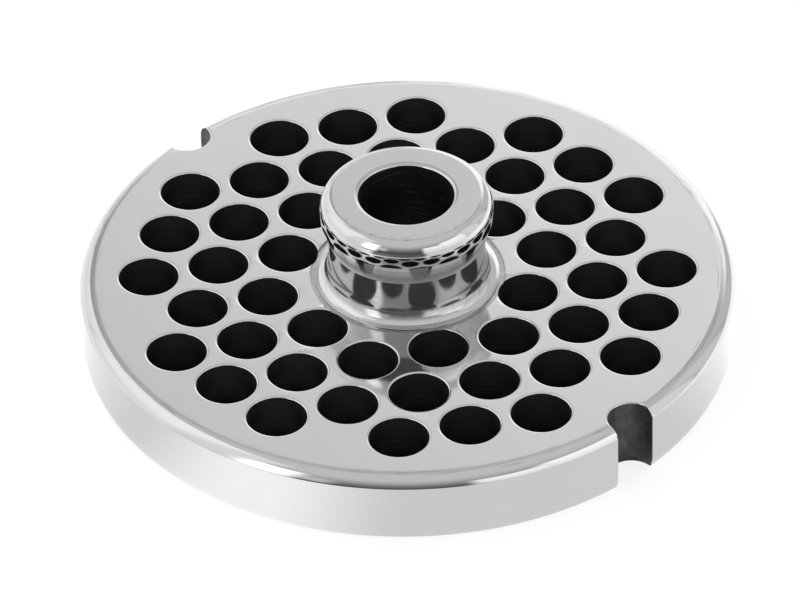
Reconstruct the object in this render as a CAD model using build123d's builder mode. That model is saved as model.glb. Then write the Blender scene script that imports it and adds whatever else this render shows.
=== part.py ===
from build123d import *
import os
from math import atan2, cos, degrees, radians, sin, sqrt, tan

# A hubbed plate for a size 32 meat grinder, turned from one piece of stainless
# steel: a round plate drilled with a hexagonal field of feed holes, a hub with
# a centre bore standing on its face, and two round-ended slots in its rim for
# the pin of the grinder's head.
# Millimetres. The origin is on the bore axis, on the flat underside. The rows
# of holes run along X, and the two slots lie close to the X axis.

# ---- Plate ----
plate_diameter = 99.0
plate_thickness = 11.2
rim_roll_width = 0.95     # shallow slope that polishing leaves round the face
rim_roll_depth = 0.1
rim_bevel_width = 1.45    # steep bevel from that slope out to the plate's side
rim_bevel_depth = 1.55
underside_break = 0.85    # edge break round the underside

# ---- Feed holes ----
hole_diameter = 9.0
hole_web = 1.85           # metal left between two neighbouring holes
rim_land = 1.5            # flat face kept between the field of holes and the rim
hub_clearance = 0.3       # metal kept between the hub's lip and the nearest hole

# ---- Slots in the rim ----
slot_width = 7.05
slot_depth = 4.65         # from the side of the plate to the round end
slot_angles = (-1.1, 180.3)

# ---- Bore ----
bore_diameter = 14.4
bore_break = 0.35         # edge break at both ends of the bore

# ---- Hub ----
hub_height = 15.0         # from the plate's face to the hub's flat top
neck_diameter = 23.6
head_overhang = 1.3       # how far the head stands out past the neck
side_round = 9.1          # radius of the head's slightly barrelled side
side_rise = 4.5           # degrees that the side turns above its widest line
side_fall = 6.2           # degrees that it turns below its widest line
under_slope = 18.0        # degrees from upright of the cone under the head
shoulder_width = 2.0      # the rounding over the head is a part of an ellipse
shoulder_drop = 2.65
flare_reach = 2.1         # how far the foot of the neck flares out to its lip
flare_height = 2.65       # how far above the lip the flare starts
lip_height = 0.05         # how far the lip stands above the plate's face
groove_width = 0.75       # relief groove cut into the face round the lip
groove_depth = 0.3

# ---- Sizes worked out from the ones above ----
plate_radius = plate_diameter / 2
hole_radius = hole_diameter / 2
hole_pitch = hole_diameter + hole_web
slot_radius = slot_width / 2
slot_centre_radius = plate_radius - slot_depth + slot_radius
bore_radius = bore_diameter / 2
neck_radius = neck_diameter / 2
head_radius = neck_radius + head_overhang
lip_radius = neck_radius + flare_reach
lip_level = plate_thickness + lip_height
groove_level = plate_thickness - groove_depth
hub_top = plate_thickness + hub_height

# The face stays flat out to the slope, and the bevel ends at a crease on the side.
flat_radius = plate_radius - rim_bevel_width - rim_roll_width
bevel_start = (plate_radius - rim_bevel_width, plate_thickness - rim_roll_depth)
bevel_end = (plate_radius, plate_thickness - rim_roll_depth - rim_bevel_depth)

# The shoulder's ellipse starts with the slope that the barrelled side ends with.
rise = radians(side_rise)
shoulder_start = atan2(shoulder_drop * sin(rise), shoulder_width * cos(rise))
side_top_radius = head_radius - side_round * (1 - cos(rise))
side_top_level = hub_top - shoulder_drop * (1 - sin(shoulder_start))
shoulder_centre = (side_top_radius - shoulder_width * cos(shoulder_start), hub_top - shoulder_drop)
side_centre = (head_radius - side_round, side_top_level - side_round * sin(rise))

# The cone under the head runs from the foot of its side to a crease on the
# straight neck.
side_foot_radius = side_centre[0] + side_round * cos(radians(side_fall))
side_foot_level = side_centre[1] - side_round * sin(radians(side_fall))
cone_fall = (side_foot_radius - neck_radius) / tan(radians(under_slope))
crease_level = side_foot_level - cone_fall

# A feed hole stands on every point of a hexagonal lattice that clears the hub's
# lip on the inside and the rim on the outside.
nearest_hole = lip_radius + hub_clearance + hole_radius
furthest_hole = flat_radius - rim_land - hole_radius
lattice_reach = int(plate_diameter / hole_pitch)
hole_centres = []
for row in range(-lattice_reach, lattice_reach + 1):
    for column in range(-lattice_reach, lattice_reach + 1):
        centre = Vector(hole_pitch * (column + row / 2), hole_pitch * row * sqrt(3) / 2)
        if nearest_hole < centre.length < furthest_hole:
            hole_centres.append(centre)

with BuildPart() as grinder_plate:
    # The plain plate, turned to its section.
    with BuildSketch(Plane.XZ):
        with BuildLine():
            Polyline(
                (0, 0),
                (plate_radius - underside_break, 0),
                (plate_radius, underside_break),
                bevel_end,
                bevel_start,
                (flat_radius, plate_thickness),
                (0, plate_thickness),
                close=True,
            )
        make_face()
    revolve(axis=Axis.Z)

    # The field of feed holes, drilled through.
    with BuildSketch(Plane.XY):
        with Locations(*hole_centres):
            Circle(hole_radius)
    extrude(amount=plate_thickness, mode=Mode.SUBTRACT)

    # The slots, milled in from the side with a round end.
    with BuildSketch(Plane.XY):
        for slot_angle in slot_angles:
            with PolarLocations(slot_centre_radius, 1, start_angle=slot_angle):
                Circle(slot_radius)
                Rectangle(slot_depth, slot_width, align=(Align.MIN, Align.CENTER))
    extrude(amount=plate_thickness, mode=Mode.SUBTRACT)

    # The relief groove in the face, round the hub's lip.
    with BuildSketch(Plane.XZ):
        with Locations((lip_radius, plate_thickness)):
            Rectangle(groove_width, 2 * groove_depth, align=(Align.MIN, Align.CENTER))
    revolve(axis=Axis.Z, mode=Mode.SUBTRACT)

    # The hub, turned: lip and flared foot, straight neck, cone under the head,
    # barrelled side, shoulder and flat top.
    with BuildSketch(Plane.XZ):
        with BuildLine():
            lip = Line((lip_radius, groove_level), (lip_radius, lip_level))
            flare_centre = (lip_radius, lip_level + flare_height)
            flare = EllipticalCenterArc(flare_centre, flare_reach, flare_height, 180)
            neck = Line(flare @ 0, (neck_radius, crease_level))
            Line(neck @ 1, (side_foot_radius, side_foot_level))
            side = CenterArc(side_centre, side_round, -side_fall, side_fall + side_rise)
            turn = degrees(shoulder_start)
            shoulder = EllipticalCenterArc(
                shoulder_centre, shoulder_width, shoulder_drop, turn, arc_size=90 - turn
            )
            Polyline(shoulder @ 1, (0, hub_top), (0, groove_level), lip @ 0)
        make_face()
    revolve(axis=Axis.Z)

    # The bore, through hub and plate, with both ends broken.
    with BuildSketch(Plane.XY):
        Circle(bore_radius)
    extrude(amount=hub_top, mode=Mode.SUBTRACT)
    bore_rims = grinder_plate.edges(Select.LAST).filter_by(GeomType.CIRCLE)
    chamfer(bore_rims, bore_break)

grinder_plate.part.label = "grinder_plate"
os.makedirs("parts", exist_ok=True)
export_step(grinder_plate.part, "parts/grinder_plate.step")
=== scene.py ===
# %% [markdown]
# # A hubbed plate for a meat grinder
#
# The real thing is one piece of stainless steel: a round plate full of drilled
# holes, with a turned hub on it. A mirror polish hides nothing, so this lesson
# turns the plate again on a fine lathe, drills it, breaks its edges and then
# spends most of its care on the steel's finish and on the painted surroundings
# that the steel reflects.

from math import atan2, cos, degrees, hypot, pi, radians, sin, sqrt, tan

import bpy
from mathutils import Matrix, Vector


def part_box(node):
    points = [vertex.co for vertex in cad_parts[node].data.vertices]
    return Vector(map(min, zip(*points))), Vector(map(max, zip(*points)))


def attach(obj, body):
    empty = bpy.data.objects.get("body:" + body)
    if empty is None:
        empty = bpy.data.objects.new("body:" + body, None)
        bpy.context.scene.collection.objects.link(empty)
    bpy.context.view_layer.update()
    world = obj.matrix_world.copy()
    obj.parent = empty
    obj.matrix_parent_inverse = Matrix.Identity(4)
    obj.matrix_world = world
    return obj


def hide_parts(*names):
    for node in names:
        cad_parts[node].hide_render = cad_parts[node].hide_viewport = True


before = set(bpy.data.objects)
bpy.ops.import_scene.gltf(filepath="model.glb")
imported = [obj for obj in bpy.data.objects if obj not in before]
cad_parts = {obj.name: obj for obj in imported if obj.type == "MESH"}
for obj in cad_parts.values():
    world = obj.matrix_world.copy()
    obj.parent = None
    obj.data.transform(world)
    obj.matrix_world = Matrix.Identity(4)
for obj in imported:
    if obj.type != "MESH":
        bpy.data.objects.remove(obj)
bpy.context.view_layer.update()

# %% [markdown]
# ## Sizes
#
# A turned part is known by its section. These are the sizes of that section in
# millimetres, with the axis at zero and the underside at height zero. A place
# is given as radius and height, and a rounding as its width and height. The
# plate's reach and height are read from the frame, so the new piece can't
# outgrow it.

# %% Sizes of the plate and its hub
MM = 0.001
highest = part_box("grinder_plate")[1]
PLATE_RADIUS = highest.y / MM
HUB_TOP = highest.z / MM

PLATE_TOP = 11.2
BOTTOM_ROUND = (0.95, 2.4)
CREASE_LEVEL = 9.55
BEVEL_START = (48.05, 11.1)
BEVEL_BULGE = 0.2
ROLL_BULGE = 0.02
FLAT_END = 47.1
FLAT_LEAD = 0.3

BORE_RADIUS = 7.2
BORE_BREAK = (0.7, 0.35)
HEAD_RADIUS = 13.1
SIDE_ROUND = 9.1
SIDE_RISE = 4.5
SIDE_FALL = 6.2
UNDER_SLOPE = 18.0
SHOULDER = (2.0, 2.65)
NECK_RADIUS = 11.8
LIP_RADIUS = 13.9
LIP_LEVEL = 11.25
FLARE_HEIGHT = 2.65
GROOVE_RADIUS = 14.65
GROOVE_LEVEL = 10.9
EASE = 0.06

HOLE_RADIUS = 4.5
HOLE_PITCH = 10.85
HOLE_BREAK = (0.35, 0.17)
INNER_HOLE_REACH = 18.5
OUTER_HOLE_REACH = 41.1

SLOT_RADIUS = 3.525
SLOT_CENTRE = 48.375
SLOT_BREAK = (0.25, 0.17)
SLOT_ANGLES = (-1.1, 180.3)
print("plate", round(2 * PLATE_RADIUS, 1), "mm across,", round(HUB_TOP, 1), "mm tall")

# %% [markdown]
# ## The outline to be turned
#
# A lathe needs half the section as one closed chain of points. Straight runs
# need only their ends. A rounding needs a point every few degrees, because a
# polished surface shows each flat between them. One small function works out
# the points of round stretches, and another those of shallow bulges.


# %% The outline
def arc(centre, reach, start, end, steps):
    """Points along an arc in the section, from one angle in degrees to another."""
    width, height = reach if isinstance(reach, tuple) else (reach, reach)
    angles = [radians(start + (end - start) * i / steps) for i in range(steps + 1)]
    return [(centre[0] + width * cos(a), centre[1] + height * sin(a)) for a in angles]


def bulged(start, end, bulge, steps):
    """Points along a shallow arc that stands off the straight line by bulge."""
    run = (end[0] - start[0], end[1] - start[1])
    length = hypot(*run)
    side = (run[1] / length, -run[0] / length)
    points = []
    for i in range(steps + 1):
        along = i / steps
        off = 4 * bulge * along * (1 - along)
        x = start[0] + run[0] * along + side[0] * off
        points.append((x, start[1] + run[1] * along + side[1] * off))
    return points


# The head's side is slightly barrelled, and the shoulder's ellipse starts with
# the slope that the side ends with.
rise = radians(SIDE_RISE)
shoulder_start = atan2(SHOULDER[1] * sin(rise), SHOULDER[0] * cos(rise))
side_top = (
    HEAD_RADIUS - SIDE_ROUND * (1 - cos(rise)),
    HUB_TOP - SHOULDER[1] * (1 - sin(shoulder_start)),
)
shoulder_centre = (side_top[0] - SHOULDER[0] * cos(shoulder_start), HUB_TOP - SHOULDER[1])
side_centre = (HEAD_RADIUS - SIDE_ROUND, side_top[1] - SIDE_ROUND * sin(rise))

# The cone under the head falls to a crease on the neck. Both of its ends are
# eased, so that the bend is taken by one narrow band.
side_foot = (
    side_centre[0] + SIDE_ROUND * cos(radians(SIDE_FALL)),
    side_centre[1] - SIDE_ROUND * sin(radians(SIDE_FALL)),
)
crease = side_foot[1] - (side_foot[0] - NECK_RADIUS) / tan(radians(UNDER_SLOPE))
cone_step = (EASE * sin(radians(UNDER_SLOPE)), EASE * cos(radians(UNDER_SLOPE)))
cone = [
    (NECK_RADIUS, crease - EASE),
    (NECK_RADIUS + cone_step[0], crease + cone_step[1]),
    (side_foot[0] - cone_step[0], side_foot[1] - cone_step[1]),
]

outline = []
bore_edge = BORE_RADIUS + BORE_BREAK[0]
outline += arc((bore_edge, BORE_BREAK[1]), BORE_BREAK, 180, 270, 8)
outline += arc((PLATE_RADIUS - BOTTOM_ROUND[0], BOTTOM_ROUND[1]), BOTTOM_ROUND, -90, 0, 16)
outline += bulged((PLATE_RADIUS, CREASE_LEVEL), BEVEL_START, BEVEL_BULGE, 14)
outline += bulged(BEVEL_START, (FLAT_END, PLATE_TOP), ROLL_BULGE, 6)[1:]
outline += [(FLAT_END - FLAT_LEAD, PLATE_TOP)]
outline += arc((GROOVE_RADIUS + EASE, PLATE_TOP - EASE), EASE, 90, 180, 3)
outline += [(GROOVE_RADIUS, GROOVE_LEVEL), (LIP_RADIUS, GROOVE_LEVEL)]
outline += arc((LIP_RADIUS - EASE, LIP_LEVEL - EASE), EASE, 0, 80, 3)

# The flare starts a little way up its ellipse, clear of the lip's own rounding.
FLARE_START = 264
flare_reach = (LIP_RADIUS - NECK_RADIUS, FLARE_HEIGHT)
outline += arc((LIP_RADIUS, LIP_LEVEL + FLARE_HEIGHT), flare_reach, FLARE_START, 180, 20)
outline += cone
outline += arc(side_centre, SIDE_ROUND, -SIDE_FALL, SIDE_RISE, 14)
outline += arc(shoulder_centre, SHOULDER, degrees(shoulder_start), 90, 28)[1:]
outline += arc((bore_edge, HUB_TOP - BORE_BREAK[1]), BORE_BREAK, 90, 180, 8)
print("outline of", len(outline), "points")

# %% [markdown]
# ## Turning
#
# In Blender a lathe is the Spin operator. The chain is drawn the way it would
# be drawn by hand: one small square is collapsed to a single point, the point
# is extruded from place to place, and the last is joined to the first. Spin
# then carries the chain once round the axis and welds the seam.

# %% Turn the blank
AROUND = 256
WELD = 0.002 * MM
SAME_POINT = 0.001


def deselect_all():
    for other in list(bpy.context.selected_objects):
        other.select_set(False)


def pick(piece):
    """Select the piece alone and make it the active one."""
    deselect_all()
    piece.select_set(True)
    bpy.context.view_layer.objects.active = piece


def start_edit(name):
    """Name the object that a primitive operator has just made, and open it."""
    piece = bpy.context.active_object
    piece.name = name
    piece.data.name = name
    bpy.ops.object.mode_set(mode="EDIT")
    return piece


def turned(name, points, steps):
    """Draw a closed chain of (radius, height) points and spin it round the Z axis."""
    deselect_all()
    first = Vector((points[0][0] * MM, 0, points[0][1] * MM))
    bpy.ops.mesh.primitive_plane_add(size=MM, location=(0, 0, 0))
    piece = start_edit(name)
    bpy.ops.mesh.merge(type="CENTER")
    bpy.ops.transform.translate(value=first)
    at = first
    for radius, height in points[1:]:
        there = Vector((radius * MM, 0, height * MM))
        bpy.ops.mesh.extrude_region_move(TRANSFORM_OT_translate={"value": there - at})
        at = there
    bpy.ops.mesh.select_all(action="SELECT")
    bpy.ops.mesh.spin(steps=steps, angle=2 * pi, center=(0, 0, 0), axis=(0, 0, 1))
    return piece


def closed_outline(points):
    """Leave out a point that repeats the one before, and end where it started."""
    kept = [points[0]]
    for point in points[1:]:
        if hypot(point[0] - kept[-1][0], point[1] - kept[-1][1]) > SAME_POINT:
            kept.append(point)
    return kept + [points[0]]


plate = turned("grinder_plate_polished", closed_outline(outline), AROUND)
bpy.ops.mesh.select_all(action="SELECT")
bpy.ops.mesh.remove_doubles(threshold=WELD)
bpy.ops.mesh.normals_make_consistent(inside=False)
bpy.ops.object.mode_set(mode="OBJECT")
print("blank:", len(plate.data.vertices), "points,", len(plate.data.polygons), "faces")

# %% [markdown]
# ## Drills and cutters
#
# The feed holes are drilled on a triangular lattice and their edges are broken
# by a light touch of a countersink. Here one cutter does both jobs: a cylinder
# whose two ends flare out by the edge break, rounded and wider than it is deep,
# so that each hole gets a thin bright line round it. The walls of the
# cutter carry another finish than its flared ends, and the Boolean modifier
# hands both on to the metal that they cut.


# %% One drill, with flared ends
def finish_slot(piece, finish):
    """Give the piece one more finish and return its number."""
    piece.data.materials.append(finish)
    return len(piece.data.materials) - 1


polished = bpy.data.materials.new("polished_steel_face")
drilled = bpy.data.materials.new("drilled_steel_wall")
milled = bpy.data.materials.new("milled_steel_wall")
bored = bpy.data.materials.new("bored_steel_wall")

FLARE_STEPS = 4
PAST_FACE = 1.0
NEAR = 0.01


def select_faces(piece, wanted):
    """In edit mode, select just the faces whose centre and normal pass the test."""
    bpy.ops.mesh.select_all(action="DESELECT")
    bpy.ops.object.mode_set(mode="OBJECT")
    for face in piece.data.polygons:
        face.select = wanted(face.center / MM, face.normal)
    bpy.ops.object.mode_set(mode="EDIT")
    bpy.ops.mesh.select_mode(type="FACE")


def flare(radius, edge_break, level, upward):
    """Carry the selected end face on through a quarter of an ellipse, edge_break."""
    width, height = edge_break
    centre = (0, 0, level * MM)
    reach = radius
    for i in range(1, FLARE_STEPS + 1):
        turn = radians(90 * i / FLARE_STEPS)
        last_turn = radians(90 * (i - 1) / FLARE_STEPS)
        climb = height * (sin(turn) - sin(last_turn))
        wider = radius + width * (1 - cos(turn))
        bpy.ops.mesh.extrude_region_move(
            TRANSFORM_OT_translate={"value": (0, 0, upward * climb * MM)}
        )
        scale = wider / reach
        bpy.ops.transform.resize(value=(scale, scale, 1), center_override=centre)
        reach = wider
    bpy.ops.mesh.extrude_region_move(
        TRANSFORM_OT_translate={"value": (0, 0, upward * PAST_FACE * MM)}
    )


def cutter(name, radius, edge_break, around, wall_finish):
    """A cylinder on the Z axis through the plate, flared at both of its faces."""
    deselect_all()
    height = edge_break[1]
    length = PLATE_TOP - 2 * height
    bpy.ops.mesh.primitive_cylinder_add(
        vertices=around, radius=radius * MM, depth=length * MM, location=(0, 0, PLATE_TOP / 2 * MM)
    )
    piece = bpy.context.active_object
    bpy.ops.object.transform_apply(location=True, rotation=True, scale=True)
    piece = start_edit(name)
    for upward, level in ((1, PLATE_TOP), (-1, 0.0)):
        end = level - upward * height
        select_faces(piece, lambda at, normal: abs(at.z - end) < NEAR and normal.z * upward > 0.9)
        flare(radius, edge_break, level, upward)
    bpy.ops.object.mode_set(mode="OBJECT")
    finish_slot(piece, polished)
    wall = finish_slot(piece, wall_finish)
    for face in piece.data.polygons:
        if abs(face.normal.z) < NEAR and height < face.center.z / MM < PLATE_TOP - height:
            face.material_index = wall
    return piece


HOLE_SIDES = 64
drill = cutter("drill", HOLE_RADIUS, HOLE_BREAK, HOLE_SIDES, drilled)
print("drill:", len(drill.data.polygons), "faces")

# %% [markdown]
# ## The slots' cutter
#
# The slots are milled with a cutter as wide as the slot, fed straight in from
# the side. The same flared cylinder does for the round end, and its outer half
# is pulled out past the rim, which leaves two straight walls behind it.


# %% Two slot cutters, stretched outwards and turned to their places
SLOT_SIDES = 96
SLOT_PULL = 6.0


def slot_cutter(name, angle):
    piece = cutter(name, SLOT_RADIUS, SLOT_BREAK, SLOT_SIDES, milled)
    bpy.ops.object.mode_set(mode="EDIT")
    bpy.ops.mesh.select_all(action="DESELECT")
    bpy.ops.object.mode_set(mode="OBJECT")
    for point in piece.data.vertices:
        point.select = point.co.x > SAME_POINT * MM
    bpy.ops.object.mode_set(mode="EDIT")
    bpy.ops.mesh.select_mode(type="VERT")
    bpy.ops.transform.translate(value=(SLOT_PULL * MM, 0, 0))
    bpy.ops.mesh.select_all(action="SELECT")
    bpy.ops.transform.translate(value=(SLOT_CENTRE * MM, 0, 0))
    bpy.ops.transform.rotate(value=-radians(angle), orient_axis="Z", center_override=(0, 0, 0))
    bpy.ops.object.mode_set(mode="OBJECT")
    return piece


slot_cutters = [slot_cutter(f"slot_cutter_{i}", angle) for i, angle in enumerate(SLOT_ANGLES)]
for piece in slot_cutters:
    middle = sum((point.co for point in piece.data.vertices), Vector()) / len(piece.data.vertices)
    print(piece.name, "points to", round(degrees(atan2(middle.y, middle.x)), 2), "degrees")

# %% [markdown]
# ## Drilling
#
# One drill is copied to every place of the lattice that clears the hub and the
# rim, all the cutters are joined, and one Boolean cuts them from the blank.


# %% Cut the holes and the slots
def hole_places():
    """Centres of the feed holes in millimetres: rows run along X."""
    reach = int(PLATE_RADIUS / HOLE_PITCH) + 1
    places = []
    for row in range(-reach, reach + 1):
        for column in range(-reach * 2, reach * 2 + 1):
            place = (HOLE_PITCH * (column + row / 2), HOLE_PITCH * row * sqrt(3) / 2)
            if INNER_HOLE_REACH < hypot(*place) < OUTER_HOLE_REACH:
                places.append(place)
    return places


holes = hole_places()
cutters = list(slot_cutters)
for i, (x, y) in enumerate(holes):
    copy = drill.copy()
    copy.data = drill.data.copy()
    copy.name = f"drill_{i:02d}"
    copy.location = (x * MM, y * MM, 0)
    bpy.context.scene.collection.objects.link(copy)
    cutters.append(copy)
bpy.data.objects.remove(drill)


def joined(pieces, name):
    """Join the pieces into the first one, with its origin at the world's."""
    deselect_all()
    for piece in pieces:
        piece.select_set(True)
    bpy.context.view_layer.objects.active = pieces[0]
    bpy.ops.object.join()
    whole = bpy.context.active_object
    whole.name = name
    bpy.ops.object.transform_apply(location=True, rotation=True, scale=True)
    return whole


all_cutters = joined(cutters, "all_cutters")
for finish in (polished, drilled, milled):
    finish_slot(plate, finish)
bore_wall = finish_slot(plate, bored)
for face in plate.data.polygons:
    if hypot(face.center.x, face.center.y) < (BORE_RADIUS + NEAR) * MM:
        face.material_index = bore_wall


def apply_modifier(piece, name):
    pick(piece)
    bpy.ops.object.modifier_apply(modifier=name)


cut = plate.modifiers.new("cut", "BOOLEAN")
cut.operation = "DIFFERENCE"
cut.solver = "EXACT"
cut.object = all_cutters
cut.material_mode = "TRANSFER"
apply_modifier(plate, "cut")
bpy.data.objects.remove(all_cutters)
print(len(holes), "holes drilled:", len(plate.data.polygons), "faces")

# %% [markdown]
# ## The slots' corners
#
# The wheel also takes the sharpness off the four upright corners where the slots
# run out through the rim. Each corner is a chain of short edges from the bottom
# up to the bevel, and the Bevel operator rounds it.


# %% Round the corners of the slots
CORNER_ROUND = 0.25
CORNER_REACH = 48.6
CORNER_LEVELS = (0.3, 10.2)


def on_corner(point):
    """Whether a point of the plate is on an upright corner of a slot."""
    at = point.co / MM
    if hypot(at.x, at.y) < CORNER_REACH or not CORNER_LEVELS[0] < at.z < CORNER_LEVELS[1]:
        return False
    for angle in SLOT_ANGLES:
        ahead = at.x * cos(radians(angle)) + at.y * sin(radians(angle))
        aside = at.y * cos(radians(angle)) - at.x * sin(radians(angle))
        if ahead > 0 and abs(abs(aside) - SLOT_RADIUS) < NEAR:
            return True
    return False


pick(plate)
bpy.ops.object.mode_set(mode="EDIT")
bpy.ops.mesh.remove_doubles(threshold=WELD)
bpy.ops.mesh.select_all(action="DESELECT")
bpy.ops.object.mode_set(mode="OBJECT")
corner_points = {point.index for point in plate.data.vertices if on_corner(point)}
corner_edges = [edge for edge in plate.data.edges if corner_points.issuperset(edge.vertices)]
for edge in corner_edges:
    edge.select = True
bpy.ops.object.mode_set(mode="EDIT")
bpy.ops.mesh.select_mode(type="EDGE")
bpy.ops.mesh.bevel(offset=CORNER_ROUND * MM, segments=3, affect="EDGES", clamp_overlap=False)
bpy.ops.object.mode_set(mode="OBJECT")
print(len(corner_edges), "edges of the slots' corners rounded")

# %% [markdown]
# ## Smooth and sharp
#
# A mirror shows the slightest fault in the normals. Edges sharper than the
# limit stay sharp. Everywhere else the normals are shared, and the Weighted
# Normal modifier lets the large flat faces rule, so that the plate's face
# reflects as one flat sheet right up to its edges.

# %% Shade the plate
SHARP_ANGLE = 32
FACE_WEIGHT = 50


def shade(piece):
    pick(piece)
    bpy.ops.object.shade_smooth_by_angle(angle=radians(SHARP_ANGLE))
    weighted = piece.modifiers.new("weighted", "WEIGHTED_NORMAL")
    weighted.mode = "FACE_AREA"
    weighted.weight = FACE_WEIGHT
    weighted.keep_sharp = True
    apply_modifier(piece, "weighted")


pick(plate)
bpy.ops.object.mode_set(mode="EDIT")
bpy.ops.mesh.select_all(action="SELECT")
bpy.ops.mesh.remove_doubles(threshold=WELD)
bpy.ops.object.mode_set(mode="OBJECT")
shade(plate)
print("shaded:", len(plate.data.polygons), "faces, sharp past", SHARP_ANGLE, "degrees")

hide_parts("grinder_plate")
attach(plate, "root")

# %% [markdown]
# ## Writing shader maths as sums
#
# A finish is a handful of formulas: how far a point is from the axis, how
# strong the scratches are there. One small class wraps a socket so that such
# formulas are written as Python sums, and each operator adds its Math node.
# Every other node comes from one method that takes the node's type, its
# settings and what goes into its sockets.


# %% A socket that can be added up
class Value:
    def __init__(self, tree, socket):
        self.tree = tree
        self.socket = socket

    def maths(self, operation, *others):
        node = self.tree.nodes.new("ShaderNodeMath")
        node.operation = operation
        for socket, value in zip(node.inputs, (self, *others)):
            plug(self.tree, socket, value)
        return Value(self.tree, node.outputs[0])

    def __add__(self, other):
        return self.maths("ADD", other)

    def __sub__(self, other):
        return self.maths("SUBTRACT", other)

    def __rsub__(self, other):
        return (self * -1).maths("ADD", other)

    def __mul__(self, other):
        return self.maths("MULTIPLY", other)

    def __truediv__(self, other):
        return self.maths("DIVIDE", other)

    __radd__ = __add__
    __rmul__ = __mul__


def plug(tree, socket, value):
    """Link a value into a socket, or set the socket to a plain number or colour."""
    if isinstance(value, Value):
        tree.links.new(value.socket, socket)
    else:
        socket.default_value = value


class Shader:
    """A node tree and the ways of adding to it."""

    def __init__(self, owner):
        owner.use_nodes = True
        self.tree = owner.node_tree
        self.tree.nodes.clear()

    def node(self, kind, settings=None, output=0, **sockets):
        """Add a node; a socket's name is given with its spaces as underscores."""
        made = self.tree.nodes.new(kind)
        for name, setting in (settings or {}).items():
            setattr(made, name, setting)
        for name, value in sockets.items():
            number = int(name[1:]) if name[1:].isdigit() else name.replace("_", " ")
            plug(self.tree, made.inputs[number], value)
        return Value(self.tree, made.outputs[output]) if made.outputs else made

    def ramp(self, value, low, high):
        """A smooth step from 0 at low to 1 at high."""
        settings = {"interpolation_type": "SMOOTHSTEP"}
        return self.node(
            "ShaderNodeMapRange", settings, Value=value, From_Min=low, From_Max=high
        )

    def band(self, value, low, high, soft):
        """1 between low and high, with soft edges."""
        rise = self.ramp(value, low - soft / 2, low + soft / 2)
        return rise * (1 - self.ramp(value, high - soft / 2, high + soft / 2))

    def parts(self, vector):
        """The X, Y and Z of a vector."""
        return [self.node("ShaderNodeSeparateXYZ", None, i, Vector=vector) for i in range(3)]

    def grey(self, level):
        """A colour that is equally strong in red, green and blue."""
        return self.node("ShaderNodeCombineColor", None, 0, Red=level, Green=level, Blue=level)


# %% [markdown]
# ## What the steel reflects
#
# Polished steel has hardly a look of its own: it shows what stands round it. No
# lamp or screen is modelled here. The surroundings are painted on the world as
# soft patches, by bearing from the camera's side and by height, both in
# degrees. The plate is lit by them and mirrors them, while the lens sees plain
# white in their place. Their levels were set from measured brightness and then
# render by render, to suit one view. So this is no plain studio, and it isn't
# made for another view or another object: a white background that the steel
# mirrors too would be simpler, and would hold for any.

# %% Bearings and heights
CAMERA_BEARING = -43.457
CEILING = 0.74
GROUND = 0.1
CEILING_RAMP = (5, 62)
HIGHER_UP = (-5, 35)


def bearing_of(x, y):
    """The bearing of a place or a direction from the camera's side, in degrees."""
    ahead_x, ahead_y = cos(radians(CAMERA_BEARING)), sin(radians(CAMERA_BEARING))
    ahead = x * ahead_x + y * ahead_y
    aside = y * ahead_x - x * ahead_y
    return aside.maths("ARCTAN2", ahead) * degrees(1)


room = bpy.data.worlds.new("studio")
bpy.context.scene.world = room
sky = Shader(room)
look_x, look_y, look_z = sky.parts(sky.node("ShaderNodeTexCoord", output=0))
bearing = bearing_of(look_x, look_y)
height = look_z.maths("ARCSINE") * degrees(1)
print("camera's side at a bearing of", CAMERA_BEARING, "degrees")

# %% The patches
# Each patch: its name, which is only for the reader, its left and right ends,
# its foot and its top, how soft its edges are, and how bright it is at the
# level of the floor and higher up.
PATCHES = (
    ("rear left", -181, -158, -60, 31, 10, 0.97, 0.97),
    ("left, behind", -158, -127, -60, 51, 7, 0.98, 1.15),
    ("left", -128, -61, -60, 63, 7, 0.98, 1.22),
    ("left, by the strip light", -81, -58, -60, 60, 9, 0.88, 0.98),
    ("beside the strip light", -42, -26, 14, 34, 8, 0.7, 0.7),
    ("strip light", -58, -39, 4, 44, 8, 1.9, 1.9),
    ("front right, low", 20, 46, -60, 31, 6, 0.95, 1.4),
    ("front right, high", 45, 80, -60, 39, 6, 1.05, 1.4),
    ("right", 80, 104, -60, 47, 7, 0.93, 0.93),
    ("far right", 104, 124, -60, 44, 7, 0.8, 0.8),
    ("rear gap", 124, 156, -60, 50, 8, 0.66, 0.68),
    ("rear right", 155, 181, -60, 37, 7, 1.42, 1.42),
)
light = sky.ramp(height, *CEILING_RAMP) * (CEILING - GROUND) + GROUND
higher_up = sky.ramp(height, *HIGHER_UP)
for _, left, right, foot, top, soft, low, high in PATCHES:
    share = sky.band(bearing, left, right, soft) * sky.band(height, foot, top, soft)
    brightness = higher_up * (high - low) + low
    light = light + (brightness - light) * share

# Seen from the camera, the plate's flat face mirrors only a small part of the
# world, straight behind it. The grey painted there has a level and two slopes
# that weren't set by hand: they are the rounded result of a least squares fit to
# measured brightness, made outside this script.
BEHIND_LEVEL = 3.128
BEHIND_ACROSS = 0.0315
BEHIND_UP = 0.058
BEHIND_LIMITS = (0.6, 1.15)
behind = (bearing + 360).maths("MODULO", 360) - 180
board = BEHIND_LEVEL - behind * BEHIND_ACROSS - height * BEHIND_UP
board = board.maths("MINIMUM", BEHIND_LIMITS[1]).maths("MAXIMUM", BEHIND_LIMITS[0])
share = sky.band(behind, -6.5, 6.5, 4) * sky.band(height, 27, 56, 6)
light = light + (board - light) * share
lens_sees = sky.node("ShaderNodeLightPath", output=0)
seen = light + (1 - light) * lens_sees
sky.node("ShaderNodeOutputWorld", Surface=sky.node("ShaderNodeBackground", Color=sky.grey(seen)))
print("surroundings:", len(PATCHES), "patches and a board,", len(sky.tree.nodes), "nodes")
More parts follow.
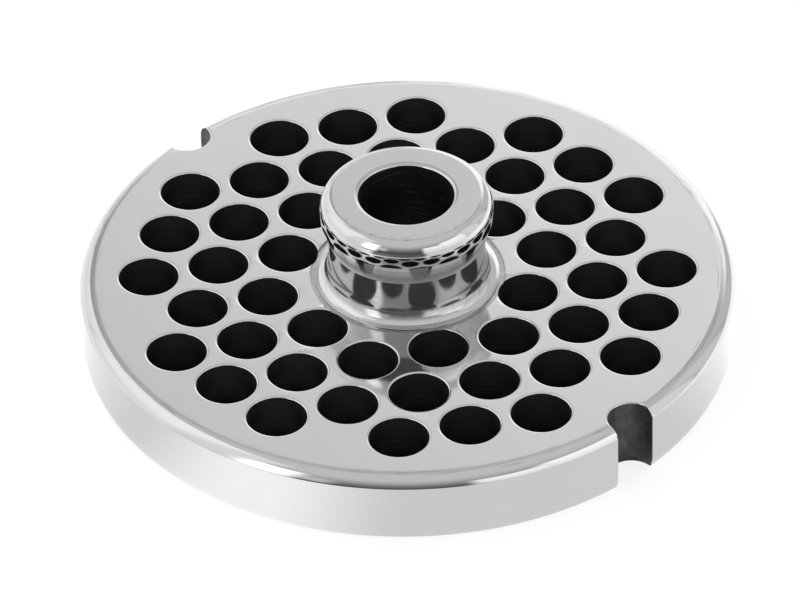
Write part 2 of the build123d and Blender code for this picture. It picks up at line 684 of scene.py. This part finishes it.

# %% [markdown]
# ## The floor
#
# This is not one plain sheet: each kind of ray sees another floor. The lens sees
# a white one, with a trace of the plate's shadow. Light that is scattered meets
# a matt pale one. The steel mirrors a painted one: painted light, brighter on some
# bearings, with a painted shadow where it lies under the plate and a painted dark
# band from some way off on the camera's side. Like the world, the painted floor
# was set for one view.

# %% The floor
FLOOR_SIZE = 6.0
FLOOR_LEVEL = -0.0001
UNDER_LIGHT = 0.21
UNDER_PLATE = (0.046, 0.0495)
DARK_BAND_REACH = (0.075, 0.11)
DARK_BAND_DEPTH = 0.85
deselect_all()
bpy.ops.mesh.primitive_plane_add(size=FLOOR_SIZE, location=(0, 0, FLOOR_LEVEL))
floor = bpy.context.active_object
floor.name = "floor"
sheet = bpy.data.materials.new("white_sheet")
paper = Shader(sheet)
place_x, place_y, _ = paper.parts(paper.node("ShaderNodeTexCoord", output=3))

# How bright the painted floor is, by bearing.
side_bearing = bearing_of(place_x, place_y)
glow = paper.band(side_bearing, -50, -14.5, 30) * 0.44 + 0.87
glow = glow + paper.ramp(side_bearing, -55, -95) * 0.25
glow = glow + paper.ramp(side_bearing, 55, 95) * 0.45 - paper.ramp(side_bearing, 120, 180) * 0.2

# The painted floor has a painted shadow under the plate, and a painted dark band further out on
# the camera's side.
away = (place_x * place_x + place_y * place_y).maths("SQRT")
clear_of_painted_shadow = paper.ramp(away, *UNDER_PLATE)
glow = glow * (clear_of_painted_shadow * (1 - UNDER_LIGHT) + UNDER_LIGHT)
camera_side_dark_band = paper.band(side_bearing, -42, 22, 8) * paper.ramp(away, *DARK_BAND_REACH)
glow = glow * (1 - camera_side_dark_band * DARK_BAND_DEPTH)
steel_sees = paper.node("ShaderNodeEmission", Color=paper.grey(glow))
matt = paper.node("ShaderNodeBsdfDiffuse", Color=(0.8, 0.8, 0.8, 1))
faint = paper.node("ShaderNodeBsdfDiffuse", Color=(0.3, 0.3, 0.3, 1))
own_white = paper.node("ShaderNodeEmission", Color=(0.8, 0.8, 0.8, 1))
white = paper.node("ShaderNodeAddShader", s0=faint, s1=own_white)
lens = paper.node("ShaderNodeLightPath", output=0)
gloss = paper.node("ShaderNodeLightPath", output=3)
shown = paper.node("ShaderNodeMixShader", s0=gloss, s1=matt, s2=steel_sees)
shown = paper.node("ShaderNodeMixShader", s0=lens, s1=shown, s2=white)
paper.node("ShaderNodeOutputMaterial", Surface=shown)
floor.data.materials.append(sheet)
print("floor:", FLOOR_SIZE, "m wide,", len(paper.tree.nodes), "nodes")

# %% [markdown]
# ## Polished steel
#
# The face and the hub are mirror polished. Even a good polish has faint clouds,
# where the wheel pressed harder, and edges that wear in streaks, so the steel's
# tone and roughness vary with them. Single scratches are left out.


# %% The polished finish
PER_METRE = 1000
CAMERA_SIDE = (0.726, -0.688)


def turned_place(finish, at):
    """Where a point is: its direction from the axis, which runs smoothly round
    it for streaks that follow the turning, then its radius and height in mm."""
    x, y, z = finish.parts(at)
    reach = (x * x + y * y).maths("SQRT")
    return x / reach, y / reach, reach * PER_METRE, z * PER_METRE


def polished_finish(material):
    """Mirror polish: cloudy, worn at some edges, duller in places, with painted shade in the
    groove.
    """
    finish = Shader(material)
    at = finish.node("ShaderNodeTexCoord", output=3)
    east, north, radius, level = turned_place(finish, at)
    clouds = finish.node("ShaderNodeTexNoise", None, 0, Vector=at, Scale=60.0, Detail=4.0)
    specks = finish.node("ShaderNodeTexNoise", None, 0, Vector=at, Scale=900.0, Detail=3.0)

    # Streaks along the rim's bevel and on the hub's shoulder, long round the axis
    # and fine across. The shoulder has them only on the camera's side.
    across = radius * 3 + level * 3
    streaks = finish.node(
        "ShaderNodeTexNoise",
        None,
        0,
        Vector=finish.node("ShaderNodeCombineXYZ", X=across, Y=east * 9, Z=north * 9),
        Scale=1.0,
        Detail=5.0,
    )
    on_bevel = finish.band(radius, 46.7, 48.3, 0.7) * finish.band(level, 10.9, 13, 0.2)
    on_shoulder = finish.band(radius, 10.6, 11.4, 0.4) * finish.ramp(level, 24, 25)
    near_front = finish.ramp(east * CAMERA_SIDE[0] + north * CAMERA_SIDE[1], 0.2, 0.95)
    worn = finish.ramp(streaks, 0.52, 0.72) * (on_bevel * 0.25 + on_shoulder * near_front * 0.4)

    # The groove round the hub's lip is darker and rougher: painted shade, with specks of dirt.
    groove_shade_and_dirt = finish.band(radius, 13.85, 14.8, 0.3) * (1 - finish.ramp(level, 11.2, 11.24))
    # The hub's flat top shines a little less than the plate. The neck has a thin
    # grey haze over a reflection that is a little dark.
    on_neck = finish.band(level, 11.9, 21.3, 0.6) * (1 - finish.ramp(radius, 12.7, 13.4))
    on_top = finish.ramp(level, 26.05, 26.15) * (1 - finish.ramp(radius, 11.0, 11.4))
    # Wear, duller steel and the groove's painted shade, in one mask that darkens the tone and
    # raises roughness.
    dull_and_shade = worn + groove_shade_and_dirt * (specks * 0.4 + 0.12) + on_neck * (specks * 0.3 + 0.1)
    dull_and_shade = dull_and_shade + on_top * 0.15
    haze = on_neck * (streaks * 0.12 + specks * 0.12)
    tone = (1 - dull_and_shade) * (clouds * 0.06 + 0.63)
    roughness = clouds * 0.06 + 0.05 + dull_and_shade * 0.2
    steel = finish.node(
        "ShaderNodeBsdfPrincipled",
        Base_Color=finish.grey(tone),
        Metallic=1 - haze,
        Roughness=roughness,
    )
    finish.node("ShaderNodeOutputMaterial", Surface=steel)


polished_finish(polished)
print(polished.name, "has", len(polished.node_tree.nodes), "nodes")

# %% [markdown]
# ## Cut walls
#
# A drill and a milling cutter leave matt walls. Deep in a narrow hole little light
# gets to them, and the drilled walls carry that as painted shade: nearly black,
# and darker further down from the face. A drilled wall has broken rings where
# the drill rubbed. A milled wall is dark, mottled, with faint upright streaks.
# Both are patterns of noise, so they are kinds of mark and no copy of any single
# one.


# %% The drilled and the milled finish
BORED_ROUGHNESS = 0.45
MILLED_ROUGHNESS = 0.6


def bored_finish(material, shade, ring):
    """A drilled wall in painted shade, nearly black and lighter near the face, with a few broken
    rings.
    """
    finish = Shader(material)
    at = finish.node("ShaderNodeTexCoord", output=3)
    level = finish.parts(at)[2] * PER_METRE
    wobble = finish.node("ShaderNodeTexNoise", None, 0, Vector=at, Scale=90.0)
    patches = finish.node("ShaderNodeTexNoise", None, 0, Vector=at, Scale=260.0, Detail=2.0)
    rings = finish.node(
        "ShaderNodeTexNoise",
        {"noise_dimensions": "1D"},
        0,
        W=level + wobble * 2.5,
        Scale=1.9,
        Detail=4.0,
        Roughness=0.7,
    )
    rings = finish.ramp(rings, 0.5, 0.8) * finish.ramp(patches, 0.42, 0.68)
    # Painted shade: the whole wall is dark, and darker further down from the face.
    tone = (finish.ramp(level, 3, PLATE_TOP) * 0.95 + 0.05) * (rings * ring + shade)
    steel = finish.node(
        "ShaderNodeBsdfPrincipled",
        Base_Color=finish.grey(tone),
        Metallic=1.0,
        Roughness=BORED_ROUGHNESS,
    )
    finish.node("ShaderNodeOutputMaterial", Surface=steel)


def milled_finish(material):
    """A milled wall: dark, mottled, with faint upright streaks."""
    finish = Shader(material)
    at = finish.node("ShaderNodeTexCoord", output=3)
    upright = finish.node("ShaderNodeMapping", Vector=at, Scale=(1, 1, 0.12))
    streaks = finish.node("ShaderNodeTexNoise", None, 0, Vector=upright, Scale=1400.0, Detail=3.0)
    mottle = finish.node("ShaderNodeTexNoise", None, 0, Vector=at, Scale=600.0, Detail=5.0)
    tone = streaks * 0.07 + finish.ramp(mottle, 0.35, 0.75) * 0.05 + 0.07
    steel = finish.node(
        "ShaderNodeBsdfPrincipled",
        Base_Color=finish.grey(tone),
        Metallic=1.0,
        Roughness=MILLED_ROUGHNESS,
    )
    finish.node("ShaderNodeOutputMaterial", Surface=steel)


bored_finish(drilled, shade=0.13, ring=0.15)
bored_finish(bored, shade=0.09, ring=0.4)
milled_finish(milled)
for wall in (drilled, bored, milled):
    print(wall.name, "has", len(wall.node_tree.nodes), "nodes")

# %% [markdown]
# ## The camera
#
# A long lens from well back, as for a catalogue, looks down at the plate by
# 38.5 degrees and leans by under one degree.

# %% Camera
camera_data = bpy.data.cameras.new("camera")
camera_data.lens = 398.5
camera_data.sensor_width = 36.0
camera_data.clip_start = 0.1
camera_data.clip_end = 50.0
camera = bpy.data.objects.new("camera", camera_data)
camera.location = (0.760515, -0.722359, 0.840001)
camera.rotation_euler = (radians(51.4563), radians(0.9026), radians(45.8239))
bpy.context.scene.collection.objects.link(camera)
bpy.context.scene.camera = camera
bpy.context.scene.view_settings.view_transform = "Standard"
print("camera", round(camera.location.length, 3), "m from the plate's foot")
